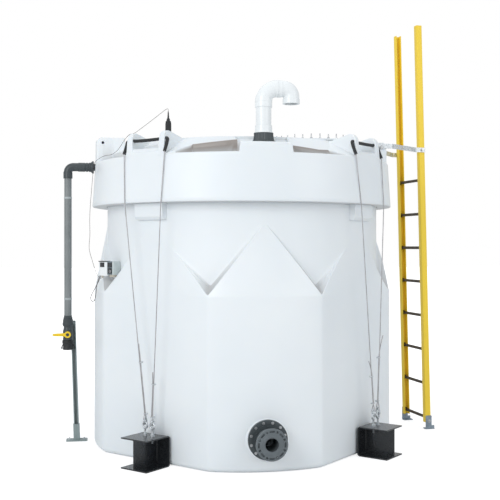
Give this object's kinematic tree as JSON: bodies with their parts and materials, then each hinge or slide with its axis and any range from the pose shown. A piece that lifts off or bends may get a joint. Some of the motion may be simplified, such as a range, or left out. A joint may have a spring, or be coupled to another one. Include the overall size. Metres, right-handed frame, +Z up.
{
  "type": "vertical storage tank",
  "caption": "Vertical round storage tank with a zigzag-crowned lower body, overhanging rim with tie-down lugs, manway, vent, fill line, flanged outlet and ladder.",
  "frame": {"origin": "on the floor at the tank's vertical axis", "axes": "+Z up; the flanged outlet faces -Y; the ladder is on the +X side and the fill line on the -X side"},
  "size_m": [3.3526, 2.713, 3.615],
  "materials": {
    "polyethylene": "satin white polyethylene",
    "black_paint": "gloss black paint",
    "galvanised_steel": "galvanised",
    "yellow_fibreglass": "yellow fibreglass",
    "grey_pvc": "grey PVC",
    "dark_pvc": "dark grey PVC",
    "white_pvc": "white PVC",
    "black_rubber": "matt black",
    "yellow_plastic": "yellow plastic",
    "dark_steel": "dark brown coating",
    "grey_paint": "grey-green paint"
  },
  "bodies": {
    "tank": {"alarm_box": "white_pvc", "anchor_front_left": "black_paint", "anchor_front_right": "black_paint", "anchor_rear_left": "black_paint", "anchor_rear_right": "black_paint", "cable_front_left": "galvanised_steel", "cable_front_right": "galvanised_steel", "cable_rear_left": "galvanised_steel", "cable_rear_right": "galvanised_steel", "fill_cap": "black_rubber", "fill_elbow": "dark_pvc", "fill_flange": "dark_pvc", "fill_pipe": "grey_pvc", "fill_support": "grey_paint", "fill_valve": "dark_pvc", "hose_front_left": "black_rubber", "hose_front_right": "black_rubber", "hose_rear_left": "black_rubber", "hose_rear_right": "black_rubber", "ladder_bracket_far": "galvanised_steel", "ladder_bracket_near": "galvanised_steel", "ladder_rail_far": "yellow_fibreglass", "ladder_rail_near": "yellow_fibreglass", "ladder_rung_1": "dark_steel", "ladder_rung_2": "dark_steel", "ladder_rung_3": "dark_steel", "ladder_rung_4": "dark_steel", "ladder_rung_5": "dark_steel", "ladder_rung_6": "dark_steel", "ladder_rung_7": "dark_steel", "ladder_rung_8": "dark_steel", "level_sensor": "black_rubber", "manway_lid": "polyethylene", "manway_ring": "polyethylene", "outlet_spool": "grey_pvc", "outlet_tank_flange": "dark_pvc", "roof": "polyethylene", "sensor_wire": "galvanised_steel", "skirt": "polyethylene", "tank_base": "polyethylene", "tank_wall": "polyethylene", "vent_base": "dark_pvc", "vent_elbow_mouth": "white_pvc", "vent_elbow_rise": "white_pvc", "vent_pipe": "white_pvc"},
    "valve_handle": {"valve_handle": "yellow_plastic"}
  },
  "joints": [
    {"name": "valve_handle_turn", "type": "hinge", "parent": "tank", "child": "valve_handle", "pos_m": [-1.47, -0.052, 0.906], "axis": [0, -1, 0], "range_deg": [0, 90]}
  ]
}
